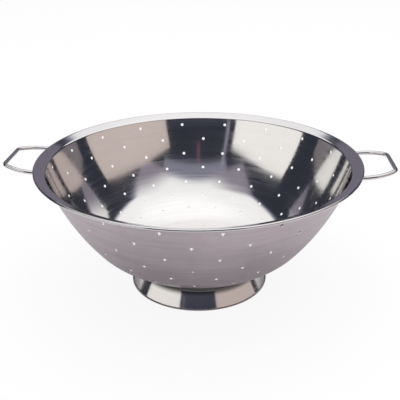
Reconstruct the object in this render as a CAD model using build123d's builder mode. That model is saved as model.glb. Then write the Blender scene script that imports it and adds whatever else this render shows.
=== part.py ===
from build123d import *
from math import asin, cos, degrees, radians, sin, tan
import os

# Footed kitchen colander: a deep bowl of pressed steel sheet with rings of drain holes,
# a sloped flange with a rolled edge, a flared foot ring and two bent rod handles.
# The origin is on the table under the middle of the bowl, +Z is up, and the handles
# stand out along X. Lengths are in millimetres and angles in degrees.

# Bowl
rim_radius = 200.0
bowl_depth = 129.5
bowl_sheet = 0.8
wall_spread = 132.0
knuckle_radius = 87.0
knuckle_turn = 51.0
flange_width = 14.0
flange_angle = 20.0
throat_bend = 4.0
bead_radius = 1.6
bead_turn = 235.0
span_shares = (0.0, 0.5, 1.0)
curve_share = 4 / 3

# Drain holes
hole_diameter = 4.0
wall_ring_count = 7
holes_per_ring = 18
first_ring_drop = 10.0
ring_spacing = 21.4
pattern_turn = 1.3
floor_ring_shares = (0.4, 0.77)
floor_holes_step = 6
cut_overrun = 3.0

# Foot ring
foot_height = 34.7
foot_sheet = 1.0
foot_lip = 1.6
lip_bend = 1.0
skirt_flare = 11.7
collar_height = 14.7
collar_overhang = 8.5
neck_bend = 10.0
collar_bend = 4.0
seat_width = 16.5

# Handles
rod_diameter = 5.0
leg_spacing = 80.6
shoulder_reach = 13.0
shoulder_flare = 4.2
shoulder_bend = 45.0
grip_reach = 35.0
grip_taper = 11.8
grip_drop = 2.0
grip_bend = 12.0
knee_drop = 2.5
knee_bend = 7.0
tab_length = 19.5
seat_gap = 0.3

# Welds
weld_gap = 0.15
weld_width = 9.2
weld_height = 5.0
weld_length = 12.0
weld_inset = 1.0
stitch_count = 12
stitch_length = 12.5
stitch_width = 2.4

# Sizes that follow from the ones above
floor_radius = rim_radius - wall_spread
floor_height = foot_height + bowl_sheet
rim_height = floor_height + bowl_depth
throat_radius = rim_radius - flange_width
flange_end_radius = rim_radius - bead_radius * (1 + sin(radians(flange_angle)))
flange_end_height = rim_height - bead_radius * (1 - cos(radians(flange_angle)))
flange_rise = (flange_end_radius - throat_radius) * tan(radians(flange_angle))
throat_height = flange_end_height - flange_rise
collar_radius = floor_radius + collar_overhang
seat_inner_radius = collar_radius - seat_width
foot_radius = collar_radius + skirt_flare
rod_radius = rod_diameter / 2


def beside(edge, share, stand_off):
    """A point to the right of an edge by the stand off."""
    along = edge % share
    return edge @ share + Vector(along.Y, -along.X) * stand_off


def draw_face(edges, stand_off):
    """Draws one face of a sheet's section, to the right of the edges by the stand off. An
    arc about as large as the knuckle's is centred past the axis, so it is drawn as cubic
    curves that follow it, and these turn about the axis cleanly."""
    for edge in edges:
        spots = [beside(edge, share, stand_off) for share in span_shares]
        if edge.geom_type == GeomType.LINE:
            Line(spots[0], spots[-1])
        elif edge.radius < knuckle_radius / 2:
            ThreePointArc(*spots)
        else:
            span_turn = edge.length / edge.radius / (len(spots) - 1)
            reach = curve_share * tan(span_turn / 4) * (edge.radius + stand_off)
            leads = [edge % share * reach for share in span_shares]
            for first, last in zip(range(len(spots)), range(1, len(spots))):
                inner = (spots[first] + leads[first], spots[last] - leads[last])
                Bezier(spots[first], *inner, spots[last])


def draw_sheet(edges, thickness):
    """Draws the closed section of a sheet, whose second face lies to the right of the
    edges by the thickness."""
    draw_face(edges, 0)
    draw_face(edges, thickness)
    Line(beside(edges[0], 0, 0), beside(edges[0], 0, thickness))
    Line(beside(edges[-1], 1, 0), beside(edges[-1], 1, thickness))


# Bowl: one sheet from the centre of the floor to the rolled edge, drawn along its inside.
with BuildLine(mode=Mode.PRIVATE) as bowl_line:
    floor = Line((0, floor_height), (floor_radius, floor_height))
    knuckle = JernArc(floor @ 1, floor % 1, knuckle_radius, knuckle_turn)
    wall = TangentArc(knuckle @ 1, (throat_radius, throat_height), tangent=knuckle % 1)
    flange = Line(wall @ 1, (flange_end_radius, flange_end_height))
    JernArc(flange @ 1, flange % 1, bead_radius, -bead_turn)
    throat = bowl_line.vertices().sort_by_distance((throat_radius, throat_height))[0]
    fillet(throat, throat_bend)

with BuildPart() as bowl_shell:
    with BuildSketch(Plane.XZ):
        with BuildLine():
            draw_sheet(bowl_line.wire().edges(), bowl_sheet)
        make_face()
    revolve(axis=Axis.Z, clean=False)


def wall_point(drop, stand_off):
    """Radius and height of a point that stands off the outside of the bowl, and the
    slope of the sheet there, at a distance down the sheet from the throat."""
    if drop <= wall.length:
        place, slope = wall @ (1 - drop / wall.length), wall % (1 - drop / wall.length)
    else:
        share = 1 - (drop - wall.length) / knuckle.length
        place, slope = knuckle @ share, knuckle % share
    out = bowl_sheet + stand_off
    return place.X + out * slope.Y, place.Y - out * slope.X, slope


# Drain holes: rings square to the wall, each turned half a pitch from the next, then
# smaller rings and one middle hole in the floor.
hole_pitch = 360 / holes_per_ring
with BuildPart() as drain_holes:
    for ring in range(wall_ring_count):
        radius, height, slope = wall_point(first_ring_drop + ring * ring_spacing, 0)
        seat = Plane((radius, 0, height), x_dir=(0, 1, 0), z_dir=(slope.Y, 0, -slope.X))
        start = pattern_turn + hole_pitch / 2 * (ring % 2)
        with PolarLocations(0, holes_per_ring, start_angle=start):
            with Locations(seat.location):
                Cylinder(hole_diameter / 2, 2 * (bowl_sheet + cut_overrun))
    with Locations((0, 0, floor_height)):
        Cylinder(hole_diameter / 2, 2 * (bowl_sheet + cut_overrun))
    for number, share in enumerate(floor_ring_shares, start=1):
        with Locations((0, 0, floor_height)):
            with PolarLocations(share * seat_inner_radius, number * floor_holes_step):
                Cylinder(hole_diameter / 2, 2 * (bowl_sheet + cut_overrun))

with BuildPart() as bowl:
    add(bowl_shell.part)
    add(drain_holes.part, mode=Mode.SUBTRACT, clean=False)


# Foot ring: a flat lip on the table, a flared skirt, a short upright collar and a flat
# seat under the floor of the bowl. It is drawn along its outside from the seat down.
with BuildLine(mode=Mode.PRIVATE) as foot_line:
    collar_corner = (collar_radius, foot_height)
    neck_corner = (collar_radius, foot_height - collar_height)
    lip_corner = (foot_radius - foot_lip, foot_sheet)
    Polyline(
        (seat_inner_radius, foot_height),
        collar_corner,
        neck_corner,
        lip_corner,
        (foot_radius, foot_sheet),
    )
    corners = ((collar_corner, collar_bend), (neck_corner, neck_bend), (lip_corner, lip_bend))
    for corner, bend in corners:
        fillet(foot_line.vertices().sort_by_distance(corner)[0], bend)

with BuildPart() as foot_ring:
    with BuildSketch(Plane.XZ):
        with BuildLine():
            draw_sheet(foot_line.wire().edges(), foot_sheet)
        make_face()
    revolve(axis=Axis.Z)


# Handles: one bent rod each. Its two ends lie down the outside of the wall under the
# flange, and its legs pass below the rolled edge and out to the grip.
tab_radius, tab_height, _ = wall_point(knee_drop + tab_length, seat_gap + rod_radius)
knee_radius, knee_height, _ = wall_point(knee_drop, seat_gap + rod_radius)
leg_turn = asin(leg_spacing / 2 / knee_radius)
knee_reach = knee_radius * cos(leg_turn)
grip_x = rim_radius + grip_reach
grip_height = rim_height - grip_drop
shoulder_x = rim_radius + shoulder_reach
shoulder_share = (shoulder_x - knee_reach) / (grip_x - knee_reach)
shoulder_height = knee_height + shoulder_share * (grip_height - knee_height)
half_loop = (
    (tab_radius * cos(leg_turn), tab_radius * sin(leg_turn), tab_height),
    (knee_reach, leg_spacing / 2, knee_height),
    (shoulder_x, leg_spacing / 2 + shoulder_flare, shoulder_height),
    (grip_x, leg_spacing / 2 - grip_taper, grip_height),
)
other_half = tuple((x, -y, z) for x, y, z in reversed(half_loop))
half_bends = (knee_bend, shoulder_bend, grip_bend)

with BuildPart() as right_handle:
    with BuildLine() as rod_line:
        FilletPolyline(*half_loop, *other_half, radius=(*half_bends, *reversed(half_bends)))
    rod_path = rod_line.wire()
    with BuildSketch(Plane(rod_path @ 0, z_dir=rod_path % 0)):
        Circle(rod_radius)
    sweep(path=rod_path)

with BuildPart() as left_handle:
    mirror(right_handle.part, about=Plane.YZ)


# Handle welds: a bead along each side of each rod end, in the corner between the rod
# and the wall.
rod_end = Plane(rod_path @ 0, x_dir=(sin(leg_turn), -cos(leg_turn), 0), z_dir=rod_path % 0)
with BuildPart() as right_handle_welds:
    with BuildSketch(rod_end.offset(weld_inset)):
        Polygon(
            (-weld_width / 2, -rod_radius),
            (weld_width / 2, -rod_radius),
            (0, weld_height - rod_radius),
            align=None,
        )
        Circle(rod_radius + weld_gap, mode=Mode.SUBTRACT)
    extrude(amount=weld_length)
    mirror(about=Plane.XZ)

with BuildPart() as left_handle_welds:
    mirror(right_handle_welds.part, about=Plane.YZ)


# Foot ring welds: short stitches under the bowl, in the corner between its floor and the
# inner edge of the foot ring's seat.
stitch_outer = seat_inner_radius - weld_gap
with BuildPart() as stitch:
    with BuildSketch(Plane.XZ):
        Polygon(
            (stitch_outer, foot_height),
            (stitch_outer - stitch_width, foot_height),
            (stitch_outer, foot_height - foot_sheet),
            align=None,
        )
    revolve(axis=Axis.Z, revolution_arc=degrees(stitch_length / seat_inner_radius))

with BuildPart() as foot_ring_welds:
    with PolarLocations(0, stitch_count):
        add(stitch.part)


pieces = {
    "bowl": bowl,
    "foot_ring": foot_ring,
    "right_handle": right_handle,
    "left_handle": left_handle,
    "right_handle_welds": right_handle_welds,
    "left_handle_welds": left_handle_welds,
    "foot_ring_welds": foot_ring_welds,
}
os.makedirs("parts", exist_ok=True)
for name, piece in pieces.items():
    piece.part.label = name
    export_step(piece.part, f"parts/{name}.step")
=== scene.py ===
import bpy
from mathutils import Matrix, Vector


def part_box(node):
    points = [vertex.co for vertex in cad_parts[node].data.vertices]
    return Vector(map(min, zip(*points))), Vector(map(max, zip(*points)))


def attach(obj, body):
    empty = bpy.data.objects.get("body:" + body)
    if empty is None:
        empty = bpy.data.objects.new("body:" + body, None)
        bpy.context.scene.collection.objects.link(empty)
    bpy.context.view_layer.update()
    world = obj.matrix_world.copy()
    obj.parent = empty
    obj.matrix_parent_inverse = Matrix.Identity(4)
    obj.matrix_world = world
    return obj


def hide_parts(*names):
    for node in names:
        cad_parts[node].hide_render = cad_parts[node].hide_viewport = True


bl_info = {
    "name": "Footed Colander",
    "version": (1, 0, 0),
    "blender": (4, 5, 0),
    "location": "3D View > Sidebar > Colander",
    "description": "Models a footed steel colander, its finishes and a small photo studio",
    "category": "Object",
}

from math import atan2, ceil, cos, pi, radians, sin, tan
from typing import NamedTuple

import bpy
import numpy as np
from bpy.props import FloatProperty, FloatVectorProperty, IntProperty, PointerProperty
from mathutils import Matrix, Quaternion, Vector

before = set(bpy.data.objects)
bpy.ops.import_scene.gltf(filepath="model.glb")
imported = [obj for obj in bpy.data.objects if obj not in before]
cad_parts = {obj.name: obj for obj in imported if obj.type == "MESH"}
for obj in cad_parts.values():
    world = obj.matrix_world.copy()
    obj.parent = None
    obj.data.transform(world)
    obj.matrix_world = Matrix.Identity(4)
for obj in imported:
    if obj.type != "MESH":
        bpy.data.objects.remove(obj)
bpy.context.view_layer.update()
bowl_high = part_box("bowl")[1]
foot_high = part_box("foot_ring")[1]

SEED_SIZE = 0.001
MERGE_DISTANCE = 1e-6
ARC_STEP = radians(3.0)
SHEET_CREASE = radians(35.0)
ROD_CREASE = radians(40.0)
LENGTH = {"subtype": "DISTANCE", "unit": "LENGTH", "min": 0.0}
ANGLE = {"subtype": "ANGLE", "unit": "ROTATION"}
COLOUR = {"subtype": "COLOR", "size": 3, "min": 0.0, "max": 1.0}


class BowlSizes(bpy.types.PropertyGroup):
    """Sizes of the pressed bowl"""

    rim_radius: FloatProperty(
        name="Rim radius", description="Outside of the rolled edge", default=bowl_high.x, **LENGTH
    )
    rim_height: FloatProperty(
        name="Rim height", description="Top of the rolled edge", default=bowl_high.z, **LENGTH
    )
    floor_radius: FloatProperty(
        name="Floor radius", description="Flat of the floor inside", default=0.068, **LENGTH
    )
    sheet: FloatProperty(
        name="Sheet", description="Thickness of the steel sheet", default=0.0008, **LENGTH
    )
    knuckle_radius: FloatProperty(
        name="Knuckle radius",
        description="Curve from the floor to the wall",
        default=0.087,
        **LENGTH,
    )
    knuckle_turn: FloatProperty(
        name="Knuckle turn",
        description="Slope where the wall starts",
        default=radians(51.0),
        **ANGLE,
    )
    flange_width: FloatProperty(
        name="Flange width", description="Sloped rim outside the wall", default=0.014, **LENGTH
    )
    flange_slope: FloatProperty(
        name="Flange slope", description="Rise of the sloped rim", default=radians(20.0), **ANGLE
    )
    throat_bend: FloatProperty(
        name="Throat bend", description="Fold between wall and flange", default=0.004, **LENGTH
    )
    bead_radius: FloatProperty(
        name="Bead radius", description="Outside of the rolled edge", default=0.0016, **LENGTH
    )
    bead_turn: FloatProperty(
        name="Bead turn", description="How far the edge is rolled", default=radians(235.0), **ANGLE
    )
    spin_steps: IntProperty(
        name="Spin steps", description="Faces around the bowl", default=360, min=36, max=720
    )


class HoleSizes(bpy.types.PropertyGroup):
    """Sizes of the drain holes"""

    diameter: FloatProperty(
        name="Diameter", description="Width of each drain hole", default=0.004, **LENGTH
    )
    first_drop: FloatProperty(
        name="First ring", description="Top ring, down from the fold", default=0.010, **LENGTH
    )
    spacing: FloatProperty(
        name="Ring spacing", description="Between rings, along the wall", default=0.0214, **LENGTH
    )
    rings: IntProperty(name="Rings", description="Rings of holes in the wall", default=7, min=1)
    per_ring: IntProperty(name="Per ring", description="Holes in each ring", default=18, min=3)
    start_turn: FloatProperty(
        name="Start", description="Where the first ring starts", default=radians(1.3), **ANGLE
    )
    inner_floor_ring: FloatProperty(
        name="Inner floor ring", description="Radius of its 6 holes", default=0.024, **LENGTH
    )
    outer_floor_ring: FloatProperty(
        name="Outer floor ring", description="Radius of its 12 holes", default=0.0462, **LENGTH
    )


class FootSizes(bpy.types.PropertyGroup):
    """Sizes of the foot ring"""

    foot_radius: FloatProperty(
        name="Foot radius", description="Outside of the lip", default=foot_high.x, **LENGTH
    )
    height: FloatProperty(
        name="Height", description="From the table to the bowl", default=foot_high.z, **LENGTH
    )
    sheet: FloatProperty(
        name="Sheet", description="Thickness of the steel sheet", default=0.001, **LENGTH
    )
    lip: FloatProperty(name="Lip", description="Flat lip on the table", default=0.0016, **LENGTH)
    lip_bend: FloatProperty(
        name="Lip bend", description="Fold above the lip", default=0.001, **LENGTH
    )
    skirt_flare: FloatProperty(
        name="Skirt flare", description="How far the skirt widens", default=0.0117, **LENGTH
    )
    collar_height: FloatProperty(
        name="Collar height", description="Upright part under the bowl", default=0.0147, **LENGTH
    )
    neck_bend: FloatProperty(
        name="Neck bend", description="Curve from collar to skirt", default=0.010, **LENGTH
    )
    collar_bend: FloatProperty(
        name="Collar bend", description="Curve from seat to collar", default=0.004, **LENGTH
    )
    seat_width: FloatProperty(
        name="Seat width", description="Flat ring against the bowl", default=0.0165, **LENGTH
    )
    spin_steps: IntProperty(
        name="Spin steps", description="Faces around the foot", default=256, min=36, max=720
    )


class HandleSizes(bpy.types.PropertyGroup):
    """Sizes of the two bent rods"""

    rod_diameter: FloatProperty(
        name="Rod", description="Thickness of the rod", default=0.005, **LENGTH
    )
    leg_spacing: FloatProperty(
        name="Leg spacing", description="Between the two legs", default=0.0806, **LENGTH
    )
    shoulder_reach: FloatProperty(
        name="Shoulder reach", description="Widest point past the rim", default=0.013, **LENGTH
    )
    shoulder_flare: FloatProperty(
        name="Shoulder flare", description="How far each leg spreads", default=0.0042, **LENGTH
    )
    shoulder_bend: FloatProperty(
        name="Shoulder bend", description="Curve at the widest point", default=0.045, **LENGTH
    )
    grip_reach: FloatProperty(
        name="Grip reach", description="Middle of the grip past the rim", default=0.035, **LENGTH
    )
    grip_taper: FloatProperty(
        name="Grip taper", description="How far each leg closes in", default=0.0118, **LENGTH
    )
    grip_drop: FloatProperty(
        name="Grip drop", description="Middle of the grip below the rim", default=0.002, **LENGTH
    )
    grip_bend: FloatProperty(
        name="Grip bend", description="Corners of the grip", default=0.012, **LENGTH
    )
    knee_drop: FloatProperty(
        name="Knee drop", description="Where the rod meets the wall", default=0.0025, **LENGTH
    )
    knee_bend: FloatProperty(
        name="Knee bend", description="Bend at the wall", default=0.007, **LENGTH
    )
    tab_length: FloatProperty(
        name="Tab length", description="Rod that lies on the wall", default=0.0195, **LENGTH
    )
    seat_gap: FloatProperty(
        name="Seat gap", description="Between the rod and the wall", default=0.0003, **LENGTH
    )


class SteelColours(bpy.types.PropertyGroup):
    """Colours of the steel finishes"""

    mirror: FloatVectorProperty(
        name="Mirror", description="Inside of the bowl", default=(0.89, 0.88, 0.875), **COLOUR
    )
    rim: FloatVectorProperty(
        name="Rim", description="Flange and rolled edge", default=(0.80, 0.79, 0.80), **COLOUR
    )
    satin: FloatVectorProperty(
        name="Satin", description="Outside of the bowl", default=(0.69, 0.615, 0.66), **COLOUR
    )
    foot: FloatVectorProperty(
        name="Foot", description="Foot ring", default=(0.80, 0.78, 0.77), **COLOUR
    )
    rod: FloatVectorProperty(
        name="Rod", description="Handles", default=(0.80, 0.79, 0.79), **COLOUR
    )
    weld: FloatVectorProperty(
        name="Weld", description="Weld beads", default=(0.42, 0.40, 0.38), **COLOUR
    )
    floor: FloatVectorProperty(
        name="Floor", description="Table under the colander", default=(0.92, 0.92, 0.92), **COLOUR
    )


class StudioSettings(bpy.types.PropertyGroup):
    """Camera and studio"""

    turn: FloatProperty(
        name="Turn",
        description="Studio and camera about the colander",
        default=radians(3.8),
        **ANGLE,
    )
    distance: FloatProperty(
        name="Distance", description="Camera to the middle of the rim", default=0.820, **LENGTH
    )
    elevation: FloatProperty(
        name="Elevation", description="Camera above the rim", default=radians(20.22), **ANGLE
    )
    pitch: FloatProperty(
        name="Pitch", description="How far the camera looks down", default=radians(23.86), **ANGLE
    )
    yaw: FloatProperty(
        name="Yaw", description="How far the camera looks right", default=radians(0.12), **ANGLE
    )
    roll: FloatProperty(
        name="Roll", description="Tilt of the camera", default=radians(-0.39), **ANGLE
    )
    lens: FloatProperty(
        name="Lens", description="Focal length in millimetres", default=59.7, min=10.0, max=300.0
    )
    room: FloatProperty(
        name="Room", description="Distance of the cards and walls", default=4.0, **LENGTH
    )
    table: FloatProperty(
        name="Table", description="Middle to the end of the pale table", default=0.60, **LENGTH
    )
    lamp: FloatProperty(
        name="Lamp", description="Power of the ceiling lamp in watts", default=40.0, min=0.0
    )
    softbox: FloatProperty(
        name="Softbox",
        description="Brightness of the overhead light",
        default=1.02,
        min=0.0,
        max=3.0,
    )


def outward(turn):
    """The way out of the bowl, square to its sheet, where the sheet slopes by the turn."""
    return Vector((sin(turn), -cos(turn)))


class Wall:
    """The line of the inside of the bowl, in a plane through its axis: a flat floor, a
    knuckle, an arc up to the fold and a sloped flange."""

    def __init__(self, sizes):
        self.sizes = sizes
        self.floor_height = foot_high.z + sizes.sheet
        self.throat_radius = sizes.rim_radius - sizes.flange_width
        slope = sizes.flange_slope
        self.flange_end = Vector((
            sizes.rim_radius - sizes.bead_radius * (1 + sin(slope)),
            sizes.rim_height - sizes.bead_radius * (1 - cos(slope)),
        ))
        rise = (self.flange_end.x - self.throat_radius) * tan(slope)
        self.throat = Vector((self.throat_radius, self.flange_end.y - rise))
        self.knuckle_centre = Vector((sizes.floor_radius, self.floor_height + sizes.knuckle_radius))
        start = self.on_knuckle(sizes.knuckle_turn)
        chord = self.throat - start
        along = Vector((cos(sizes.knuckle_turn), sin(sizes.knuckle_turn)))
        inward = -outward(sizes.knuckle_turn)
        self.arc_radius = chord.length_squared / (2 * chord.dot(inward))
        self.arc_turn = 2 * atan2(chord.dot(inward), chord.dot(along))
        self.arc_centre = start + inward * self.arc_radius
        self.throat_turn = sizes.knuckle_turn + self.arc_turn

    def on_knuckle(self, turn):
        return self.knuckle_centre + outward(turn) * self.sizes.knuckle_radius

    def at(self, drop, stand_off):
        """Radius, height and slope of a point that stands off the outside of the wall, at
        a distance down the wall from the fold."""
        arc_length = self.arc_radius * self.arc_turn
        if drop <= arc_length:
            turn = self.throat_turn - drop / self.arc_radius
            centre, radius = self.arc_centre, self.arc_radius
        else:
            turn = self.sizes.knuckle_turn - (drop - arc_length) / self.sizes.knuckle_radius
            centre, radius = self.knuckle_centre, self.sizes.knuckle_radius
        place = centre + outward(turn) * (radius + self.sizes.sheet + stand_off)
        return place.x, place.y, turn


def deselect_all():
    if bpy.context.object and bpy.context.object.mode != "OBJECT":
        bpy.ops.object.mode_set(mode="OBJECT")
    bpy.ops.object.select_all(action="DESELECT")


def select_only(obj):
    deselect_all()
    obj.select_set(True)
    bpy.context.view_layer.objects.active = obj


def place_mesh(obj):
    """Moves the object's place into its mesh, so that the object sits at the origin."""
    select_only(obj)
    bpy.ops.object.transform_apply(location=True, rotation=True, scale=True)


def rounded(corners, bends):
    """Points along straight runs, whose inner corners are arcs of the given radii."""
    corners = [Vector(corner) for corner in corners]
    points = [corners[0]]
    for before, corner, after, bend in zip(corners, corners[1:], corners[2:], bends):
        back = (before - corner).normalized()
        ahead = (after - corner).normalized()
        turn = pi - back.angle(ahead)
        centre = corner + (back + ahead).normalized() * bend / cos(turn / 2)
        first = corner + back * bend * tan(turn / 2) - centre
        last = corner + ahead * bend * tan(turn / 2) - centre
        axis = first.cross(last)
        steps = ceil(turn / ARC_STEP)
        points += [centre + Quaternion(axis, turn * i / steps) @ first for i in range(steps + 1)]
    return points + [corners[-1]]


def draw_line(name, points):
    """A line of edges through the points, extruded from one vertex."""
    deselect_all()
    bpy.ops.mesh.primitive_plane_add(size=SEED_SIZE, location=points[0])
    line = bpy.context.object
    line.name = line.data.name = name
    bpy.ops.object.mode_set(mode="EDIT")
    bpy.ops.mesh.merge(type="CENTER")
    for before, after in zip(points, points[1:]):
        step = Vector(after) - Vector(before)
        bpy.ops.mesh.extrude_vertices_move(TRANSFORM_OT_translate={"value": step})
    bpy.ops.object.mode_set(mode="OBJECT")
    place_mesh(line)
    return line


def spin_line(line, steps):
    """Turns a line once about the upright axis into a surface."""
    select_only(line)
    bpy.ops.object.mode_set(mode="EDIT")
    bpy.ops.mesh.select_all(action="SELECT")
    bpy.ops.mesh.spin(steps=steps, angle=2 * pi, center=(0, 0, 0), axis=(0, 0, 1))
    bpy.ops.mesh.select_all(action="SELECT")
    bpy.ops.mesh.remove_doubles(threshold=MERGE_DISTANCE)
    bpy.ops.object.mode_set(mode="OBJECT")
    return line


def face_out(obj, seen_from):
    """Turns all faces the same way, with the face nearest to a point looking at it."""
    select_only(obj)
    bpy.ops.object.mode_set(mode="EDIT")
    bpy.ops.mesh.select_all(action="SELECT")
    bpy.ops.mesh.normals_make_consistent(inside=False)
    bpy.ops.object.mode_set(mode="OBJECT")
    point = Vector(seen_from)
    nearest = min(obj.data.polygons, key=lambda face: (face.center - point).length_squared)
    if (point - nearest.center).dot(nearest.normal) < 0:
        obj.data.flip_normals()


def apply_modifier(obj, kind, **settings):
    select_only(obj)
    modifier = obj.modifiers.new(kind.lower(), kind)
    for key, value in settings.items():
        setattr(modifier, key, value)
    bpy.ops.object.modifier_apply(modifier=modifier.name)


def smooth(obj, angle):
    select_only(obj)
    bpy.ops.object.shade_smooth_by_angle(angle=angle)


def join(objects):
    deselect_all()
    for obj in objects:
        obj.select_set(True)
    bpy.context.view_layer.objects.active = objects[0]
    bpy.ops.object.join()
    return objects[0]


def dress(obj, node):
    """The piece stands for its CAD node and rides on the one body."""
    obj.name = obj.data.name = node + "_visual"
    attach(obj, "root")
    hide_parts(node)


class Finish(NamedTuple):
    """How a steel surface is polished, apart from its colour"""

    gloss: tuple  # the two roughnesses that it runs between
    grain: float  # how much the darkest lines and marks darken it
    fineness: float  # how close its lines lie
    relief: float  # how much its lines stand out
    bands: float = 0.0  # share of broad bands in its lines
    stretch: float = 0.0  # how far the lines draw out a highlight


FINISHES = {
    "Mirror polish": Finish(
        gloss=(0.05, 0.15), grain=0.07, fineness=1400.0, relief=0.02, bands=0.7, stretch=0.6
    ),
    "Rim polish": Finish(
        gloss=(0.07, 0.15), grain=0.04, fineness=1400.0, relief=0.03, bands=0.5, stretch=0.4
    ),
    "Spun satin": Finish(
        gloss=(0.26, 0.46), grain=0.26, fineness=900.0, relief=0.25, bands=0.65, stretch=0.3
    ),
    "Rim underside": Finish(
        gloss=(0.20, 0.32), grain=0.08, fineness=1100.0, relief=0.12, bands=0.4, stretch=0.3
    ),
    "Punched edge": Finish(gloss=(0.18, 0.30), grain=0.05, fineness=2500.0, relief=0.10),
    "Foot polish": Finish(
        gloss=(0.09, 0.17), grain=0.06, fineness=1200.0, relief=0.06, bands=0.4, stretch=0.5
    ),
    "Rod polish": Finish(gloss=(0.08, 0.14), grain=0.04, fineness=1800.0, relief=0.05),
    "Weld bead": Finish(gloss=(0.30, 0.50), grain=0.25, fineness=2200.0, relief=0.6),
}
BAND_FINENESS = 0.16  # beside that of the fine lines
BAND_LENGTH = 1.2
GRAIN_LOW, GRAIN_HIGH = 0.3, 0.7  # the noise between its darkest and its lightest line
MARK_LOW, MARK_HIGH = 0.9, 1.12  # what handling marks make of the roughness
RELIEF_DEPTH = 0.0002
QUARTER_TURN = 0.25
NECK_SHARE = 0.6  # of the neck's bend, over which painted shade darkens the foot's collar
# Share of its colour that the painted shade leaves on the foot's collar
PAINTED_NECK_SHADE = 0.2

# Sockets of a Mix node, which has a pair for each kind of value
VALUE_A, VALUE_B, COLOUR_A, COLOUR_B = 2, 3, 6, 7
MIXED_COLOUR = 2


def group_socket(group, name, way, value=None):
    socket = group.interface.new_socket(name=name, in_out=way, socket_type="NodeSocketFloat")
    if value is not None:
        socket.default_value = value


def node(tree, kind, inputs=(), **settings):
    """A shader node, its settings, and the values or links of its inputs."""
    made = tree.nodes.new("ShaderNode" + kind)
    for key, value in settings.items():
        setattr(made, key, value)
    for name, value in dict(inputs).items():
        if isinstance(value, bpy.types.NodeSocket):
            tree.links.new(value, made.inputs[name])
        else:
            made.inputs[name].default_value = value
    return made


def result(tree, operation, *values):
    """What a Math node makes of its values."""
    return node(tree, "Math", dict(enumerate(values)), operation=operation).outputs[0]


def tinted(tree, colour, shade):
    """A colour, darkened by a shade."""
    inputs = {"Factor": 1.0, COLOUR_A: colour, COLOUR_B: shade}
    mix = node(tree, "Mix", inputs, data_type="RGBA", blend_type="MULTIPLY")
    return mix.outputs[MIXED_COLOUR]


# Two groups of nodes make the marks that the steel finishes share.


def spun_grain():
    """Fine lines that run round the upright axis, as a polishing wheel leaves them."""
    name = "Spun grain"
    if name in bpy.data.node_groups:
        return bpy.data.node_groups[name]
    tree = bpy.data.node_groups.new(name, "ShaderNodeTree")
    group_socket(tree, "Fineness", "INPUT", value=900.0)
    group_socket(tree, "Length", "INPUT", value=3.0)
    group_socket(tree, "Lines", "OUTPUT")
    start = tree.nodes.new("NodeGroupInput")
    place = node(tree, "TexCoord").outputs["Object"]
    parts = node(tree, "SeparateXYZ", {"Vector": place})
    flat = node(tree, "CombineXYZ", {"X": parts.outputs["X"], "Y": parts.outputs["Y"]})
    radius = node(tree, "VectorMath", {0: flat.outputs[0]}, operation="LENGTH")
    heading = node(tree, "VectorMath", {0: flat.outputs[0]}, operation="NORMALIZE")
    stretch = {0: heading.outputs[0], "Scale": start.outputs["Length"]}
    bend = node(tree, "VectorMath", stretch, operation="SCALE")
    across = result(tree, "ADD", radius.outputs["Value"], parts.outputs["Z"])
    fine = result(tree, "MULTIPLY", across, start.outputs["Fineness"])
    around = node(tree, "SeparateXYZ", {"Vector": bend.outputs[0]})
    spot = {"X": fine, "Y": around.outputs["X"], "Z": around.outputs["Y"]}
    spot = node(tree, "CombineXYZ", spot).outputs[0]
    noise = {"Vector": spot, "Scale": 1.0, "Detail": 4.0, "Roughness": 0.6}
    noise = node(tree, "TexNoise", noise)
    end = tree.nodes.new("NodeGroupOutput")
    tree.links.new(noise.outputs["Fac"], end.inputs["Lines"])
    return tree


def handling_marks():
    """Soft cloudy patches, as wiping and handling leave on steel."""
    name = "Handling marks"
    if name in bpy.data.node_groups:
        return bpy.data.node_groups[name]
    tree = bpy.data.node_groups.new(name, "ShaderNodeTree")
    group_socket(tree, "Size", "INPUT", value=14.0)
    group_socket(tree, "Marks", "OUTPUT")
    start = tree.nodes.new("NodeGroupInput")
    cloud = {
        "Vector": node(tree, "TexCoord").outputs["Object"],
        "Scale": start.outputs["Size"],
        "Detail": 5.0,
        "Roughness": 0.55,
        "Distortion": 0.4,
    }
    cloud = node(tree, "TexNoise", cloud).outputs["Fac"]
    span = {"Value": cloud, "From Min": 0.35, "From Max": 0.65}
    spread = node(tree, "MapRange", span, interpolation_type="SMOOTHSTEP")
    end = tree.nodes.new("NodeGroupOutput")
    tree.links.new(spread.outputs["Result"], end.inputs["Marks"])
    return tree


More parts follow.
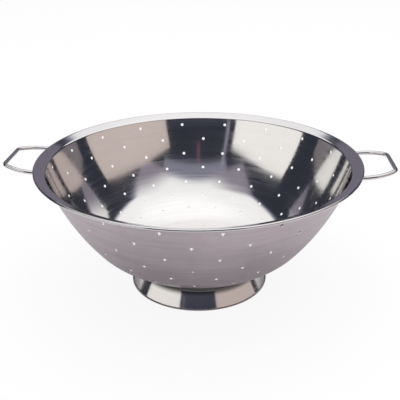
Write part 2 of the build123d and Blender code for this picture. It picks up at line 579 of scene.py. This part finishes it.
def steel(name, colour, neck=None):
    """Steel with a named finish: fine spun lines, broader bands of them and soft handling
    marks. A neck gives the heights between which painted shade darkens it."""
    finish = FINISHES[name]
    material = bpy.data.materials.new(name)
    material.use_nodes = True
    tree = material.node_tree
    shader = tree.nodes["Principled BSDF"]
    shader.inputs["Metallic"].default_value = 1.0

    lines = node(tree, "Group", {"Fineness": finish.fineness}, node_tree=spun_grain())
    broad = {"Fineness": finish.fineness * BAND_FINENESS, "Length": BAND_LENGTH}
    broad = node(tree, "Group", broad, node_tree=spun_grain())
    marks = node(tree, "Group", node_tree=handling_marks()).outputs["Marks"]
    both = {
        "Factor": finish.bands,
        VALUE_A: lines.outputs["Lines"],
        VALUE_B: broad.outputs["Lines"],
    }
    both = node(tree, "Mix", both, data_type="FLOAT").outputs[0]
    grained = {"Value": both, "From Min": GRAIN_LOW, "From Max": GRAIN_HIGH}

    low, high = finish.gloss
    rough = node(tree, "MapRange", {**grained, "To Min": low, "To Max": high})
    marked = node(tree, "MapRange", {"Value": marks, "To Min": MARK_LOW, "To Max": MARK_HIGH})
    rough = result(tree, "MULTIPLY", rough.outputs[0], marked.outputs[0])
    tree.links.new(rough, shader.inputs["Roughness"])

    shade = node(tree, "MapRange", {**grained, "To Min": 1.0 - finish.grain, "To Max": 1.0})
    cloud = {"Value": marks, "To Min": 1.0 - finish.grain / 2, "To Max": 1.0}
    cloud = node(tree, "MapRange", cloud)
    shade = result(tree, "MULTIPLY", shade.outputs[0], cloud.outputs[0])
    tint = tinted(tree, (*colour, 1.0), shade)
    # Painted shade on the foot's collar under the bowl
    if neck:
        tint = tinted(tree, tint, painted_neck_shade(tree, neck))
    tree.links.new(tint, shader.inputs["Base Color"])

    relief = {"Height": both, "Strength": finish.relief, "Distance": RELIEF_DEPTH}
    relief = node(tree, "Bump", relief)
    tree.links.new(relief.outputs["Normal"], shader.inputs["Normal"])
    if finish.stretch:
        shader.inputs["Anisotropic"].default_value = finish.stretch
        shader.inputs["Anisotropic Rotation"].default_value = QUARTER_TURN
        around = node(tree, "Tangent", direction_type="RADIAL", axis="Z")
        tree.links.new(around.outputs[0], shader.inputs["Tangent"])
    return material


def painted_neck_shade(tree, neck):
    """Painted shade: dark above the neck's heights, where the foot's collar sits under the bowl."""
    place = node(tree, "TexCoord").outputs["Object"]
    height = node(tree, "SeparateXYZ", {"Vector": place}).outputs["Z"]
    low, high = neck
    fade = {"Value": height, "From Min": low, "From Max": high, "To Min": 1.0, "To Max": PAINTED_NECK_SHADE}
    return node(tree, "MapRange", fade, interpolation_type="SMOOTHSTEP").outputs["Result"]


def glow(name, colour):
    """A plain surface of the studio that shines by itself."""
    material = bpy.data.materials.new(name)
    material.use_nodes = True
    tree = material.node_tree
    tree.nodes.remove(tree.nodes["Principled BSDF"])
    light = node(tree, "Emission", {"Color": (*colour, 1.0), "Strength": 1.0})
    tree.links.new(light.outputs[0], tree.nodes["Material Output"].inputs["Surface"])
    return material


# Places of the bowl's finishes among its materials. Each finish of the sheet's inner face
# has its counterpart on the outer face two places later.
INSIDE, OUTSIDE = 0, 2

HOLE_FACES = 20
DRILL_SHEETS = 10
FLOOR_HOLES_STEP = 6


def bowl_profile(sizes, wall):
    """Points along the inside of the bowl, from the middle of its floor over the flange
    and round the rolled edge."""
    floor_steps, knuckle_steps, arc_steps, flange_steps, bead_steps = 12, 34, 26, 6, 24
    points = [(sizes.floor_radius * i / floor_steps, wall.floor_height) for i in range(floor_steps)]
    for i in range(knuckle_steps):
        points.append(tuple(wall.on_knuckle(sizes.knuckle_turn * i / knuckle_steps)))
    fold_turn = wall.throat_turn - sizes.flange_slope
    fold_reach = sizes.throat_bend * tan(fold_turn / 2)
    last_turn = wall.arc_turn - fold_reach / wall.arc_radius
    for i in range(arc_steps):
        turn = sizes.knuckle_turn + last_turn * i / arc_steps
        points.append(tuple(wall.arc_centre + outward(turn) * wall.arc_radius))
    up = Vector((cos(wall.throat_turn), sin(wall.throat_turn))) * fold_reach * 2
    corners = [(*(wall.throat - up), 0), (*wall.throat, 0), (*wall.flange_end, 0)]
    points += [(point.x, point.y) for point in rounded(corners, [sizes.throat_bend])[1:-1]]
    start = Vector(points[-1])
    run = wall.flange_end - start
    points += [tuple(start + run * i / flange_steps) for i in range(1, flange_steps)]
    centre = wall.flange_end + outward(sizes.flange_slope) * sizes.bead_radius
    for i in range(bead_steps + 1):
        turn = sizes.flange_slope - sizes.bead_turn * i / bead_steps
        points.append(tuple(centre - outward(turn) * sizes.bead_radius))
    return points


def polish_normals(obj, sizes, wall):
    """Shades the drilled sheet as the smooth surface that it was before its holes."""
    mesh = obj.data
    count = len(mesh.loops)
    corners = np.zeros(count, np.int32)
    mesh.loops.foreach_get("vertex_index", corners)
    places = np.zeros(len(mesh.vertices) * 3)
    mesh.vertices.foreach_get("co", places)
    places = places.reshape(-1, 3)[corners]
    finishes = np.zeros(len(mesh.polygons), np.int32)
    mesh.polygons.foreach_get("material_index", finishes)
    corner_counts = np.zeros(len(mesh.polygons), np.int32)
    mesh.polygons.foreach_get("loop_total", corner_counts)
    finishes = np.repeat(finishes, corner_counts)
    radius = np.hypot(places[:, 0], places[:, 1])
    height = places[:, 2]
    across = np.where(radius > 0, radius, 1.0)
    to_knuckle = np.stack((wall.knuckle_centre.x - radius, wall.knuckle_centre.y - height), 1)
    to_arc = np.stack((wall.arc_centre.x - radius, wall.arc_centre.y - height), 1)
    turn = np.arctan2(-to_knuckle[:, 0], to_knuckle[:, 1])
    flat = np.stack((np.zeros(count), np.ones(count)), 1)
    way = np.where((turn > sizes.knuckle_turn)[:, None], to_arc, to_knuckle)
    way = np.where((radius < sizes.floor_radius)[:, None], flat, way)
    way /= np.linalg.norm(way, axis=1)[:, None]
    normals = np.stack(
        (way[:, 0] * places[:, 0] / across, way[:, 0] * places[:, 1] / across, way[:, 1]), 1
    )
    normals[finishes == OUTSIDE] *= -1
    fold_start = wall.throat_radius - sizes.throat_bend
    kept = ((finishes != INSIDE) & (finishes != OUTSIDE)) | (radius > fold_start)
    normals[kept] = 0
    mesh.normals_split_custom_set(normals.tolist())


class COLANDER_OT_bowl(bpy.types.Operator):
    """Press the bowl from one sheet and punch its drain holes"""

    bl_idname = "colander.bowl"
    bl_label = "Bowl"

    def execute(self, context):
        sizes, holes = context.scene.colander_bowl, context.scene.colander_holes
        colours = context.scene.colander_steel
        wall = Wall(sizes)
        bowl = draw_line("bowl", [(x, 0, z) for x, z in bowl_profile(sizes, wall)])
        spin_line(bowl, sizes.spin_steps)
        face_out(bowl, (0, 0, sizes.rim_height))
        mirror = steel("Mirror polish", colours.mirror)
        rim = steel("Rim polish", colours.rim)
        satin = steel("Spun satin", colours.satin)
        under = steel("Rim underside", colours.rim)
        cut = steel("Punched edge", colours.rim)
        for material in (mirror, rim, satin, under, cut):
            bowl.data.materials.append(material)
        for face in bowl.data.polygons:
            past_fold = face.center.xy.length > wall.throat_radius - sizes.sheet
            face.material_index = int(past_fold)
        apply_modifier(
            bowl,
            "SOLIDIFY",
            thickness=sizes.sheet,
            offset=-1.0,
            use_even_offset=True,
            material_offset=OUTSIDE,
            material_offset_rim=OUTSIDE,
        )
        drills = self.drills(sizes, holes, wall, cut)
        apply_modifier(
            bowl,
            "BOOLEAN",
            operation="DIFFERENCE",
            solver="EXACT",
            object=drills,
            material_mode="TRANSFER",
        )
        bpy.data.objects.remove(drills)
        smooth(bowl, SHEET_CREASE)
        polish_normals(bowl, sizes, wall)
        dress(bowl, "bowl")
        return {"FINISHED"}

    def drills(self, sizes, holes, wall, cut):
        """One round cutter for each drain hole, joined into one object."""
        deselect_all()
        bpy.ops.mesh.primitive_cylinder_add(
            vertices=HOLE_FACES, radius=holes.diameter / 2, depth=DRILL_SHEETS * sizes.sheet
        )
        cutter = bpy.context.object
        cutter.data.materials.append(cut)
        places = []
        pitch = 2 * pi / holes.per_ring
        for ring in range(holes.rings):
            radius, height, slope = wall.at(holes.first_drop + ring * holes.spacing, 0)
            tilt = Matrix.Rotation(pi - slope, 4, "Y")
            seat = Matrix.Translation((radius, 0, height)) @ tilt
            start = holes.start_turn + pitch / 2 * (ring % 2)
            for hole in range(holes.per_ring):
                places.append(Matrix.Rotation(start + pitch * hole, 4, "Z") @ seat)
        middle = Matrix.Translation((0, 0, wall.floor_height))
        places.append(middle)
        rings = (holes.inner_floor_ring, holes.outer_floor_ring)
        for number, radius in enumerate(rings, start=1):
            count = number * FLOOR_HOLES_STEP
            for hole in range(count):
                turn = Matrix.Rotation(2 * pi * hole / count, 4, "Z")
                places.append(turn @ Matrix.Translation((radius, 0, 0)) @ middle)
        copies = []
        for place in places:
            copy = cutter.copy()
            copy.data = cutter.data.copy()
            copy.matrix_world = place
            bpy.context.scene.collection.objects.link(copy)
            copies.append(copy)
        bpy.data.objects.remove(cutter)
        drills = join(copies)
        place_mesh(drills)
        return drills


class COLANDER_OT_foot_ring(bpy.types.Operator):
    """Press the foot ring from one sheet"""

    bl_idname = "colander.foot_ring"
    bl_label = "Foot Ring"

    def execute(self, context):
        sizes = context.scene.colander_foot
        colours = context.scene.colander_steel
        collar = sizes.foot_radius - sizes.skirt_flare
        corners = [
            (collar - sizes.seat_width, 0, sizes.height),
            (collar, 0, sizes.height),
            (collar, 0, sizes.height - sizes.collar_height),
            (sizes.foot_radius - sizes.lip, 0, sizes.sheet),
            (sizes.foot_radius, 0, sizes.sheet),
        ]
        bends = (sizes.collar_bend, sizes.neck_bend, sizes.lip_bend)
        foot = draw_line("foot_ring", rounded(corners, bends))
        spin_line(foot, sizes.spin_steps)
        face_out(foot, (0, 0, 1))
        apply_modifier(
            foot, "SOLIDIFY", thickness=sizes.sheet, offset=-1.0, use_even_offset=True
        )
        smooth(foot, SHEET_CREASE)
        # Heights over which painted shade darkens the collar under the bowl
        fade = sizes.neck_bend * NECK_SHARE
        neck_start = sizes.height - sizes.collar_height - fade
        polish = steel("Foot polish", colours.foot, neck=(neck_start, neck_start + fade))
        foot.data.materials.append(polish)
        dress(foot, "foot_ring")
        return {"FINISHED"}


ROD_BEVEL_STEPS = 6


class COLANDER_OT_handles(bpy.types.Operator):
    """Bend the two handles from round rod"""

    bl_idname = "colander.handles"
    bl_label = "Handles"

    def execute(self, context):
        sizes = context.scene.colander_handles
        colours = context.scene.colander_steel
        polish = steel("Rod polish", colours.rod)
        for name, side in (("right_handle", 1), ("left_handle", -1)):
            path = [(x * side, y, z) for x, y, z in self.path(context)]
            rod = draw_line(name, path)
            bpy.ops.object.convert(target="CURVE")
            rod.data.dimensions = "3D"
            rod.data.bevel_depth = sizes.rod_diameter / 2
            rod.data.bevel_resolution = ROD_BEVEL_STEPS
            rod.data.use_fill_caps = True
            bpy.ops.object.convert(target="MESH")
            rod = context.object
            face_out(rod, (side, 0, path[0][2]))
            smooth(rod, ROD_CREASE)
            rod.data.materials.clear()
            rod.data.materials.append(polish)
            dress(rod, name)
        return {"FINISHED"}

    def path(self, context):
        """The middle line of the right-hand rod, from one end to the other."""
        bowl, sizes = context.scene.colander_bowl, context.scene.colander_handles
        wall = Wall(bowl)
        stand_off = sizes.seat_gap + sizes.rod_diameter / 2
        tab_radius, tab_height, _ = wall.at(sizes.knee_drop + sizes.tab_length, stand_off)
        knee_radius, knee_height, _ = wall.at(sizes.knee_drop, stand_off)
        half = sizes.leg_spacing / 2
        share = half / knee_radius
        across = (1 - share**2) ** 0.5
        knee_x = knee_radius * across
        grip_x = bowl.rim_radius + sizes.grip_reach
        grip_height = bowl.rim_height - sizes.grip_drop
        shoulder_x = bowl.rim_radius + sizes.shoulder_reach
        along = (shoulder_x - knee_x) / (grip_x - knee_x)
        shoulder_height = knee_height + along * (grip_height - knee_height)
        corners = [
            (tab_radius * across, tab_radius * share, tab_height),
            (knee_x, half, knee_height),
            (shoulder_x, half + sizes.shoulder_flare, shoulder_height),
            (grip_x, half - sizes.grip_taper, grip_height),
        ]
        corners += [(x, -y, z) for x, y, z in reversed(corners)]
        bends = [sizes.knee_bend, sizes.shoulder_bend, sizes.grip_bend]
        return [tuple(point) for point in rounded(corners, bends + bends[::-1])]


class COLANDER_OT_welds(bpy.types.Operator):
    """Give the weld beads their finish"""

    bl_idname = "colander.welds"
    bl_label = "Welds"

    def execute(self, context):
        colours = context.scene.colander_steel
        bead = steel("Weld bead", colours.weld)
        for name in ("right_handle_welds", "left_handle_welds", "foot_ring_welds"):
            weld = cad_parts[name]
            weld.data.materials.clear()
            weld.data.materials.append(bead)
        return {"FINISHED"}


# The studio. Its lengths are shares of the distance to the cards, unless a comment says
# otherwise. Its azimuths are in degrees, clockwise from straight behind the colander.
STUDIO_CARDS = (
    # name, the azimuths that it runs between and faces, rise of its foot and top, colour
    ("left_card", 213, 274, 234, 0.0, 0.70, (0.98, 0.96, 0.93)),
    ("right_card", 78, 152, 129, 0.0, 0.71, (0.61, 0.52, 0.49)),
    ("back_card", -30, 30, 0, 0.0, 0.66, (0.19, 0.175, 0.215)),
    ("back_left_card", 292, 322, 308, 0.0, 0.20, (0.20, 0.18, 0.195)),
    ("back_right_card", 38, 66, 52, 0.0, 0.20, (0.20, 0.18, 0.195)),
    ("front_card", 153, 212, 182, 0.0, 0.42, (0.075, 0.077, 0.11)),
    ("red_stand", 178.5, 182, 180, 0.68, 0.93, (0.13, 0.065, 0.08)),
    ("light_stand", 205.5, 208, 206, 0.42, 0.95, (0.30, 0.28, 0.34)),
)
DARK_STUDIO = (0.032, 0.035, 0.049)
SPHERE_STEPS = 48
DISC_STEPS = 96
BOWL_MIDDLE = 0.12  # in metres, about where the bowl mirrors the studio
FLOOR_RADIUS = 0.9
FLOOR_SHINE = 1.03
FLOOR_SEEN, FLOOR_MIRRORED = 0.88, 0.12
TABLE_RISE = 0.0005  # in metres
TABLE_END = (0.03, 0.032, 0.045)
SCRIM_SIZE = (1.35, 0.24)
SCRIM_PLACE = (0.08, -0.95)
SCRIM_RISE = 1.01
SCRIM_COLOUR = (0.23, 0.23, 0.30)
LAMP_SIZE = 0.75
SENSOR_WIDTH = 36.0  # in millimetres

SOFTBOX_LEFT, SOFTBOX_RIGHT, SOFTBOX_FRONT, SOFTBOX_BACK = -0.96, 1.27, -0.87, 1.36
SOFTBOX_WHITE = (1.0, 0.99, 0.985)

# Where the softbox fades, from its middle, in shares of its own width and depth
SOFTBOX_EDGE = 0.36
SOFTBOX_FADE = (
    # share of the way to the edge, colour
    (0.58, (*SOFTBOX_WHITE, 1.0)),
    (0.74, (0.34, 0.34, 0.43, 1.0)),
    (0.88, (0.15, 0.15, 0.22, 1.0)),
    (1.00, (*DARK_STUDIO, 1.0)),
)
CORNER_SPAN = (0.56, 0.76)
CORNER_COLOUR = (0.26, 0.235, 0.29, 1.0)
HEART_SPAN = (0.12, 0.32)
HEART_GAIN = 1.14


class COLANDER_OT_stage(bpy.types.Operator):
    """Set up the floor, the studio light and the camera"""

    bl_idname = "colander.stage"
    bl_label = "Studio"

    def execute(self, context):
        scene = context.scene
        studio = scene.colander_studio
        self.floor(scene)
        self.dark_studio(studio)
        self.cards(studio)
        self.softbox(studio)
        self.front_scrim(studio)
        self.table_end(studio)
        self.ceiling_lamp(scene)
        self.world(scene)
        self.camera(scene)
        scene.view_settings.view_transform = "Standard"
        return {"FINISHED"}

    def set_aside(self, obj, material):
        """A part of the studio that lights the colander and hides from the camera."""
        obj.data.materials.clear()
        obj.data.materials.append(material)
        obj.visible_camera = False
        obj.visible_shadow = False

    def seen_share(self, tree, straight, in_metal):
        """A share for what the camera sees straight, another for what it sees in metal or
        glass, and none for the light that falls on the colander."""
        path = node(tree, "LightPath").outputs
        mirrored = result(tree, "MAXIMUM", path["Is Glossy Ray"], path["Is Transmission Ray"])
        mirrored = result(tree, "MULTIPLY", mirrored, in_metal)
        direct = result(tree, "MULTIPLY", path["Is Camera Ray"], straight)
        return result(tree, "MAXIMUM", direct, mirrored)

    def floor(self, scene):
        """A pale disc that keeps the colander's shadow."""
        deselect_all()
        bpy.ops.mesh.primitive_circle_add(
            vertices=DISC_STEPS,
            radius=scene.colander_studio.room * FLOOR_RADIUS,
            fill_type="NGON",
            location=(0, 0, 0),
        )
        floor = bpy.context.object
        floor.name = "floor"
        material = bpy.data.materials.new("Pale floor")
        material.use_nodes = True
        tree = material.node_tree
        tree.nodes.remove(tree.nodes["Principled BSDF"])
        matt = node(tree, "BsdfDiffuse", {"Color": (*scene.colander_steel.floor, 1.0)})
        shine = {"Color": (1.0, 1.0, 1.0, 1.0), "Strength": FLOOR_SHINE}
        shine = node(tree, "Emission", shine)
        seen = self.seen_share(tree, FLOOR_SEEN, FLOOR_MIRRORED)
        mix = node(tree, "MixShader", {0: seen, 1: matt.outputs[0], 2: shine.outputs[0]})
        tree.links.new(mix.outputs[0], tree.nodes["Material Output"].inputs["Surface"])
        floor.data.materials.append(material)

    def dark_studio(self, studio):
        """The unlit rest of the studio, all round."""
        deselect_all()
        bpy.ops.mesh.primitive_uv_sphere_add(
            segments=SPHERE_STEPS,
            ring_count=SPHERE_STEPS // 2,
            radius=studio.room * 2,
            location=(0, 0, 0),
        )
        dark = bpy.context.object
        dark.name = "dark_studio"
        self.set_aside(dark, glow("Dark studio", DARK_STUDIO))

    def cards(self, studio):
        """Upright cards and stands around the colander."""
        far = studio.room
        for name, first, last, facing, low, high, colour in STUDIO_CARDS:
            feet = []
            for azimuth in (first, last):
                turn = radians(azimuth) - studio.turn
                reach = far / cos(radians(azimuth - facing))
                feet.append(Vector((reach * sin(turn), reach * cos(turn), far * low)))
            card = draw_line(name, feet)
            bpy.ops.object.mode_set(mode="EDIT")
            bpy.ops.mesh.select_all(action="SELECT")
            lift = (0, 0, BOWL_MIDDLE + far * (high - low))
            bpy.ops.mesh.extrude_edges_move(TRANSFORM_OT_translate={"value": lift})
            bpy.ops.object.mode_set(mode="OBJECT")
            self.set_aside(card, glow(name.replace("_", " "), colour))

    def overhead(self, name, studio, size, place, rise):
        """A level plane over the colander, which turns with the camera."""
        centre = Vector((*place, 0)) * studio.room
        centre.rotate(Matrix.Rotation(studio.turn, 3, "Z"))
        centre.z = BOWL_MIDDLE + studio.room * rise
        deselect_all()
        bpy.ops.mesh.primitive_plane_add(size=1.0, location=centre)
        plane = bpy.context.object
        plane.name = name
        plane.scale = (size[0] * studio.room, size[1] * studio.room, 1)
        plane.rotation_euler.z = studio.turn
        return plane

    def softbox(self, studio):
        """The large soft light."""
        size = (SOFTBOX_RIGHT - SOFTBOX_LEFT, SOFTBOX_BACK - SOFTBOX_FRONT)
        place = ((SOFTBOX_LEFT + SOFTBOX_RIGHT) / 2, (SOFTBOX_FRONT + SOFTBOX_BACK) / 2)
        light = self.overhead("softbox", studio, size, place, 1.0)
        self.set_aside(light, self.softbox_glow(studio.softbox))

    def softbox_glow(self, strength):
        """White cloth that fades to violet towards its edges, where the light is weaker."""
        material = glow("Softbox", SOFTBOX_WHITE)
        tree = material.node_tree
        light = tree.nodes["Emission"]
        place = node(tree, "TexCoord").outputs["Object"]

        side = node(tree, "VectorMath", {0: place}, operation="ABSOLUTE")
        edge = (SOFTBOX_EDGE, SOFTBOX_EDGE, 0.0)
        past = node(tree, "VectorMath", {0: side.outputs[0], 1: edge}, operation="SUBTRACT")
        past = node(tree, "VectorMath", {0: past.outputs[0]}, operation="MAXIMUM")
        reach = node(tree, "VectorMath", {0: past.outputs[0]}, operation="LENGTH")
        share = result(tree, "DIVIDE", reach.outputs["Value"], 0.5 - SOFTBOX_EDGE)
        fade = node(tree, "ValToRGB", {"Fac": share})
        ramp = fade.color_ramp.elements
        ramp[0].position, ramp[0].color = SOFTBOX_FADE[0]
        ramp[1].position, ramp[1].color = SOFTBOX_FADE[-1]
        for position, colour in SOFTBOX_FADE[1:-1]:
            ramp.new(position).color = colour

        parts = node(tree, "SeparateXYZ", {"Vector": place}).outputs
        along = result(tree, "ABSOLUTE", parts["X"])
        corner = result(tree, "SUBTRACT", along, parts["Y"])
        corner = self.ease(tree, corner, CORNER_SPAN, 0.0, 1.0)
        shade = {"Factor": corner, COLOUR_A: fade.outputs["Color"], COLOUR_B: CORNER_COLOUR}
        shade = node(tree, "Mix", shade, data_type="RGBA")
        tree.links.new(shade.outputs[MIXED_COLOUR], light.inputs["Color"])

        middle = node(tree, "VectorMath", {0: place}, operation="LENGTH").outputs["Value"]
        heart = self.ease(tree, middle, HEART_SPAN, strength * HEART_GAIN, strength)
        tree.links.new(heart, light.inputs["Strength"])
        return material

    def ease(self, tree, value, span, first, last):
        """Goes gently from the first to the last while the value crosses the span."""
        low, high = span
        ends = {"From Min": low, "From Max": high, "To Min": first, "To Max": last}
        eased = node(tree, "MapRange", {"Value": value, **ends}, interpolation_type="SMOOTHSTEP")
        return eased.outputs["Result"]

    def front_scrim(self, studio):
        """Thin cloth over the front edge of the softbox."""
        scrim = self.overhead("front_scrim", studio, SCRIM_SIZE, SCRIM_PLACE, SCRIM_RISE)
        self.set_aside(scrim, glow("Front scrim", SCRIM_COLOUR))

    def table_end(self, studio):
        """The dark beyond the pale table, which the steel mirrors."""
        run = [(studio.table, 0, TABLE_RISE), (studio.room * 2, 0, TABLE_RISE)]
        table = draw_line("table_end", run)
        spin_line(table, DISC_STEPS)
        self.set_aside(table, glow("Table end", TABLE_END))
        table.visible_diffuse = False

    def ceiling_lamp(self, scene):
        """A weak lamp that gives the colander its shadow."""
        studio = scene.colander_studio
        data = bpy.data.lights.new("ceiling_lamp", "AREA")
        data.shape = "SQUARE"
        data.size = studio.room * LAMP_SIZE
        data.energy = studio.lamp
        lamp = bpy.data.objects.new("ceiling_lamp", data)
        lamp.location = (0, 0, studio.room)
        lamp.visible_glossy = False
        scene.collection.objects.link(lamp)

    def world(self, scene):
        world = bpy.data.worlds.new("White backdrop")
        scene.world = world
        world.use_nodes = True
        tree = world.node_tree
        background = tree.nodes["Background"]
        background.inputs["Color"].default_value = (1.0, 1.0, 1.0, 1.0)
        tree.links.new(self.seen_share(tree, 1.0, 1.0), background.inputs["Strength"])

    def camera(self, scene):
        studio = scene.colander_studio
        data = bpy.data.cameras.new("camera")
        data.lens = studio.lens
        data.sensor_width = SENSOR_WIDTH
        camera = bpy.data.objects.new("camera", data)
        scene.collection.objects.link(camera)
        reach = Vector((0, -cos(studio.elevation), sin(studio.elevation))) * studio.distance
        rim = Vector((0, 0, scene.colander_bowl.rim_height))
        camera.location = rim + Matrix.Rotation(studio.turn, 3, "Z") @ reach
        look = (
            Matrix.Rotation(studio.turn - studio.yaw, 3, "Z")
            @ Matrix.Rotation(pi / 2 - studio.pitch, 3, "X")
            @ Matrix.Rotation(studio.roll, 3, "Z")
        )
        camera.rotation_euler = look.to_euler()
        scene.camera = camera


class COLANDER_PT_sidebar(bpy.types.Panel):
    """Lists the parts of the colander"""

    bl_label = "Colander"
    bl_idname = "COLANDER_PT_sidebar"
    bl_space_type = "VIEW_3D"
    bl_region_type = "UI"
    bl_category = "Colander"

    def draw(self, context):
        for title, group, operators in PANEL_ROWS:
            box = self.layout.box()
            box.label(text=title)
            settings = getattr(context.scene, group)
            for name in settings.bl_rna.properties.keys():
                if name not in ("rna_type", "name"):
                    box.prop(settings, name)
            for operator in operators:
                box.operator(operator)


PANEL_ROWS = (
    ("Bowl", "colander_bowl", ("colander.bowl",)),
    ("Drain Holes", "colander_holes", ()),
    ("Foot Ring", "colander_foot", ("colander.foot_ring",)),
    ("Handles", "colander_handles", ("colander.handles", "colander.welds")),
    ("Colours", "colander_steel", ()),
    ("Studio", "colander_studio", ("colander.stage",)),
)

SETTINGS = (
    ("colander_bowl", BowlSizes),
    ("colander_holes", HoleSizes),
    ("colander_foot", FootSizes),
    ("colander_handles", HandleSizes),
    ("colander_steel", SteelColours),
    ("colander_studio", StudioSettings),
)

CLASSES = (
    *(kind for _, kind in SETTINGS),
    COLANDER_OT_bowl,
    COLANDER_OT_foot_ring,
    COLANDER_OT_handles,
    COLANDER_OT_welds,
    COLANDER_OT_stage,
    COLANDER_PT_sidebar,
)


def register():
    for kind in CLASSES:
        bpy.utils.register_class(kind)
    for name, kind in SETTINGS:
        setattr(bpy.types.Scene, name, PointerProperty(type=kind))


def unregister():
    for name, _ in SETTINGS:
        delattr(bpy.types.Scene, name)
    for kind in reversed(CLASSES):
        bpy.utils.unregister_class(kind)


def main():
    register()
    bpy.ops.colander.bowl()
    bpy.ops.colander.foot_ring()
    bpy.ops.colander.handles()
    bpy.ops.colander.welds()
    bpy.ops.colander.stage()


if __name__ == "__main__":
    main()
